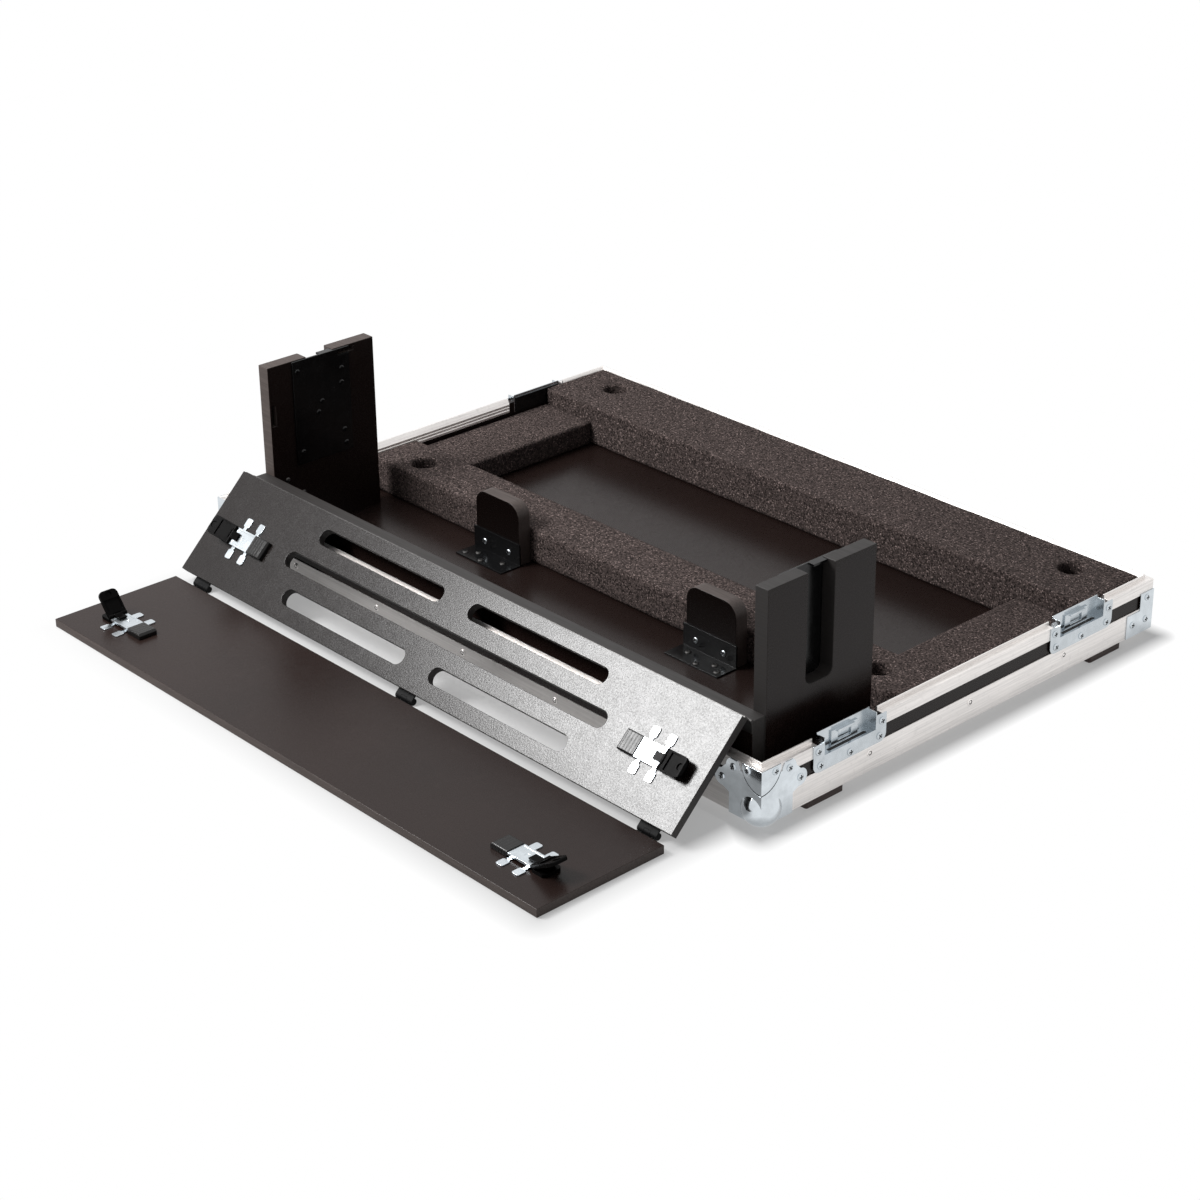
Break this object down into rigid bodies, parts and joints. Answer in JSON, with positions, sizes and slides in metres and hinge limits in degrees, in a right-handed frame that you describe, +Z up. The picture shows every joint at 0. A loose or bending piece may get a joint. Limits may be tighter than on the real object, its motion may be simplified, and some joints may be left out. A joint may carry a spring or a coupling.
{
  "type": "mixer flight case tray",
  "caption": "Flight case base tray for a mixing desk, with foam seat, cable bay, folding slotted cover, sliding latches and recessed lid catches.",
  "frame": {"origin": "middle of the footprint on the floor, with the cover folded out as in the picture", "axes": "+X to the case's right seen from the cable bay, +Y to the rear, +Z up"},
  "size_m": [0.9464, 0.9072, 0.2433],
  "materials": {
    "black_ply": "satin phenolic film",
    "foam": "open-cell foam, matt",
    "aluminium_trim": "brushed",
    "nickel_steel": "satin",
    "zinc_steel": "bright zinc",
    "black_steel": "gloss black",
    "black_plastic": "moulded",
    "foot_block": "dark stained"
  },
  "bodies": {
    "tray": {"base_board": "black_ply", "front_wall_panel": "black_ply", "back_wall_panel": "black_ply", "left_wall_panel": "black_ply", "right_wall_panel": "black_ply", "front_lid_extrusion": "aluminium_trim", "back_lid_extrusion": "aluminium_trim", "left_lid_extrusion": "aluminium_trim", "right_lid_extrusion": "aluminium_trim", "front_edge_angle": "aluminium_trim", "back_edge_angle": "aluminium_trim", "left_edge_angle": "aluminium_trim", "right_edge_angle": "aluminium_trim", "front_ball_corners": "zinc_steel", "front_corner_braces": "zinc_steel", "rear_corner_plates": "zinc_steel", "left_latch_dishes": "zinc_steel", "right_latch_dishes": "zinc_steel", "dish_keepers": "zinc_steel", "dish_backing_plates": "black_steel", "edge_rivets": "zinc_steel", "corner_screws": "zinc_steel", "dish_screws": "zinc_steel", "feet": "foot_block", "foam_back_bar": "foam", "foam_mid_bar": "foam", "foam_left_block": "foam", "foam_right_block": "foam", "front_board": "black_ply", "left_upright": "black_ply", "right_upright": "black_ply", "left_slot_plate": "black_steel", "right_slot_plate": "black_steel", "slot_plate_bolts": "black_steel", "left_stop_post": "black_ply", "right_stop_post": "black_ply", "left_post_bracket": "black_steel", "right_post_bracket": "black_steel", "bracket_screws": "zinc_steel", "piano_hinge_fixed_leaf": "nickel_steel", "piano_hinge_pin": "nickel_steel"},
    "flap": {"slotted_flap": "black_ply", "piano_hinge_moving_leaf": "nickel_steel", "flap_strap_leaves": "black_steel", "strap_hinge_pins": "black_steel", "flap_latch_bridges": "zinc_steel", "flap_latch_blocks": "black_plastic"},
    "cover": {"top_cover": "black_ply", "cover_strap_leaves": "black_steel", "cover_latch_bridges": "zinc_steel", "cover_latch_blocks": "black_plastic"},
    "flap_left_latch_bar": {"flap_left_latch_bar": "black_plastic"},
    "flap_left_latch_lever": {"flap_left_latch_lever": "black_plastic"},
    "flap_right_latch_bar": {"flap_right_latch_bar": "black_plastic"},
    "flap_right_latch_lever": {"flap_right_latch_lever": "black_plastic"},
    "cover_left_latch_bar": {"cover_left_latch_bar": "black_plastic"},
    "cover_left_latch_lever": {"cover_left_latch_lever": "black_plastic"},
    "cover_right_latch_bar": {"cover_right_latch_bar": "black_plastic"},
    "cover_right_latch_lever": {"cover_right_latch_lever": "black_plastic"}
  },
  "joints": [
    {"name": "flap_hinge", "type": "hinge", "parent": "tray", "child": "flap", "pos_m": [0, -0.16364, 0.1028], "axis": [1, 0, 0], "range_deg": [-134.49, 0]},
    {"name": "cover_hinge", "type": "hinge", "parent": "flap", "child": "cover", "pos_m": [0, -0.27236, 0.004], "axis": [1, 0, 0], "range_deg": [-45.52, 0]},
    {"name": "flap_left_latch_bar_slide", "type": "slide", "parent": "flap", "child": "flap_left_latch_bar", "axis": [-1, 0, 0], "range_m": [0, 0.012]},
    {"name": "flap_left_latch_lever_hinge", "type": "hinge", "parent": "flap_left_latch_bar", "child": "flap_left_latch_lever", "pos_m": [-0.3725, -0.23609, 0.0664], "axis": [0, 0.7134, 0.7007], "range_deg": [-25, 75]},
    {"name": "flap_right_latch_bar_slide", "type": "slide", "parent": "flap", "child": "flap_right_latch_bar", "axis": [1, 0, 0], "range_m": [0, 0.012]},
    {"name": "flap_right_latch_lever_hinge", "type": "hinge", "parent": "flap_right_latch_bar", "child": "flap_right_latch_lever", "pos_m": [0.3725, -0.23609, 0.0664], "axis": [0, -0.7134, -0.7007], "range_deg": [-6, 94]},
    {"name": "cover_left_latch_bar_slide", "type": "slide", "parent": "cover", "child": "cover_left_latch_bar", "axis": [-1, 0, 0], "range_m": [0, 0.012]},
    {"name": "cover_left_latch_lever_hinge", "type": "hinge", "parent": "cover_left_latch_bar", "child": "cover_left_latch_lever", "pos_m": [-0.3725, -0.40156, 0.0165], "axis": [0, 1, 0], "range_deg": [-50, 50]},
    {"name": "cover_right_latch_bar_slide", "type": "slide", "parent": "cover", "child": "cover_right_latch_bar", "axis": [1, 0, 0], "range_m": [0, 0.012]},
    {"name": "cover_right_latch_lever_hinge", "type": "hinge", "parent": "cover_right_latch_bar", "child": "cover_right_latch_lever", "pos_m": [0.3725, -0.40156, 0.0165], "axis": [0, -1, 0], "range_deg": [-27, 73]}
  ]
}
